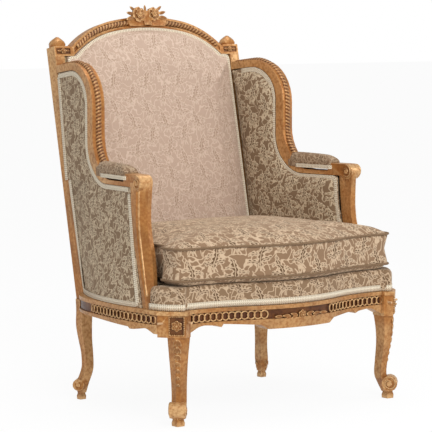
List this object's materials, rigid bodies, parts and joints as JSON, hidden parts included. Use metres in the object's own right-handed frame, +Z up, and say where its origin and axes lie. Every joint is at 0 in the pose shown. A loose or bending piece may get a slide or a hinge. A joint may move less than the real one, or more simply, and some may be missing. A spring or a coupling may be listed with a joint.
{
  "type": "bergere chair",
  "caption": "Winged bergere armchair: carved giltwood frame with cabriole legs, padded back, closed sides, padded arms and a loose seat cushion in figured velvet.",
  "frame": {"origin": "on the floor under the middle of the chair's box", "axes": "+X to the right as one faces the chair, the front faces -Y, +Z up"},
  "size_m": [0.8202, 0.7279, 1.0559],
  "materials": {
    "giltwood": "antiqued gilding over carved beech",
    "bare_beech": "bare sawn beech",
    "damask_velvet": "cut velvet, taupe pile figure on a cream ground",
    "damask_back": "cut velvet, low contrast figure on a pinkish beige ground",
    "damask_cushion": "cut velvet, taupe pile figure on a cream ground",
    "gimp_braid": "woven cream braid",
    "jute_webbing": "plain jute webbing",
    "hessian": "plain hessian",
    "bottom_cloth": "black cotton"
  },
  "bodies": {
    "chair": {"arm_back_rail_left": "bare_beech", "arm_back_rail_right": "bare_beech", "arm_pad_left": "damask_velvet", "arm_pad_right": "damask_velvet", "arm_post_left": "giltwood", "arm_post_right": "giltwood", "arm_rail_left": "giltwood", "arm_rail_right": "giltwood", "back_hessian": "hessian", "back_lower_rail": "bare_beech", "back_webbing": "jute_webbing", "bottom_cloth": "bottom_cloth", "corner_blocks": "bare_beech", "crest_rail": "giltwood", "front_leg_left": "giltwood", "front_leg_right": "giltwood", "front_seat_rail": "giltwood", "gimp_arm_pad_left": "gimp_braid", "gimp_arm_pad_right": "gimp_braid", "gimp_inside_back": "gimp_braid", "gimp_inside_side_left": "gimp_braid", "gimp_inside_side_right": "gimp_braid", "gimp_outside_back": "gimp_braid", "gimp_outside_side_left": "gimp_braid", "gimp_outside_side_right": "gimp_braid", "gimp_seat": "gimp_braid", "inside_back_pad": "damask_back", "inside_side_pad_left": "damask_velvet", "inside_side_pad_right": "damask_velvet", "joint_pegs": "bare_beech", "outside_back_panel": "damask_velvet", "outside_side_panel_left": "damask_velvet", "outside_side_panel_right": "damask_velvet", "rear_post_left": "giltwood", "rear_post_right": "giltwood", "rear_seat_rail": "bare_beech", "seat_hessian": "hessian", "seat_platform": "damask_velvet", "seat_webbing_crosswise": "jute_webbing", "seat_webbing_lengthwise": "jute_webbing", "side_seat_rail_left": "giltwood", "side_seat_rail_right": "giltwood", "wing_rail_left": "giltwood", "wing_rail_right": "giltwood"},
    "cushion": {"seat_cushion": "damask_cushion"}
  },
  "joints": [
    {"name": "cushion_lift", "type": "slide", "parent": "chair", "child": "cushion", "axis": [0, -0.7071, 0.7071], "range_m": [0, 0.75]}
  ]
}
